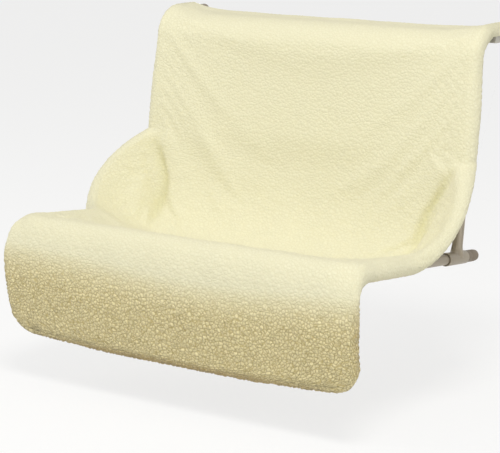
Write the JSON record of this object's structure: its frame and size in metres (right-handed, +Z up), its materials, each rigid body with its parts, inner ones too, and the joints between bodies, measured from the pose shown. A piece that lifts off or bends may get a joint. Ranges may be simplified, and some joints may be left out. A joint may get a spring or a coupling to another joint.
{
  "type": "radiator cat bed",
  "caption": "Hammock cat bed on a steel tube frame that hooks over a radiator's top edge, with a sherpa fleece cover and a hanging front flap.",
  "frame": {"origin": "mid-width on the radiator's top front edge, where the pads' plane meets the bumpers' plane", "axes": "+X along the radiator, to the right as seen from the room; +Y back into the radiator; +Z up"},
  "size_m": [0.532, 0.4222, 0.3844],
  "materials": {
    "frame_paint": "taupe powder coat, satin",
    "hook_steel": "bright zinc plated",
    "bumper_rubber": "taupe, matt",
    "pad_rubber": "pale grey, matt",
    "taupe_plastic": "fine grained",
    "dark_plastic": "fine grained",
    "cap_vinyl": "dipped vinyl, satin",
    "fleece": "cream sherpa pile",
    "lining": "plain knitted backing"
  },
  "bodies": {
    "bed": {"seat_frame": "frame_paint", "arm_left": "frame_paint", "arm_right": "frame_paint", "sleeve_left": "frame_paint", "sleeve_right": "frame_paint", "weld_left": "frame_paint", "weld_right": "frame_paint", "bumper_left": "bumper_rubber", "bumper_right": "bumper_rubber", "hook_pad_left": "pad_rubber", "hook_pad_right": "pad_rubber", "arm_collar_left": "taupe_plastic", "arm_collar_right": "taupe_plastic", "clamp_nut_left": "hook_steel", "clamp_nut_right": "hook_steel", "back_casing_left": "lining", "back_casing_right": "lining", "seat_casing_left": "lining", "seat_casing_right": "lining", "fleece_cover": "fleece", "front_tunnel": "lining", "flap_hem": "lining", "top_hem": "lining"},
    "hook_left": {"hook_rod_left": "hook_steel", "hook_cap_left": "cap_vinyl"},
    "hook_right": {"hook_rod_right": "hook_steel", "hook_cap_right": "cap_vinyl"},
    "clamp_left": {"clamp_screw_left": "hook_steel", "clamp_knob_left": "dark_plastic"},
    "clamp_right": {"clamp_screw_right": "hook_steel", "clamp_knob_right": "dark_plastic"}
  },
  "joints": [
    {"name": "hook_slide_left", "type": "slide", "parent": "bed", "child": "hook_left", "axis": [0, 1, 0], "range_m": [0, 0.03]},
    {"name": "hook_slide_right", "type": "slide", "parent": "bed", "child": "hook_right", "axis": [0, 1, 0], "range_m": [0, 0.03]},
    {"name": "clamp_turn_left", "type": "hinge", "parent": "bed", "child": "clamp_left", "pos_m": [-0.2415, 0.0575, 0.011], "axis": [-1, 0, 0], "range_deg": [0, 720]},
    {"name": "clamp_turn_right", "type": "hinge", "parent": "bed", "child": "clamp_right", "pos_m": [0.2415, 0.0575, 0.011], "axis": [1, 0, 0], "range_deg": [0, 720]}
  ]
}
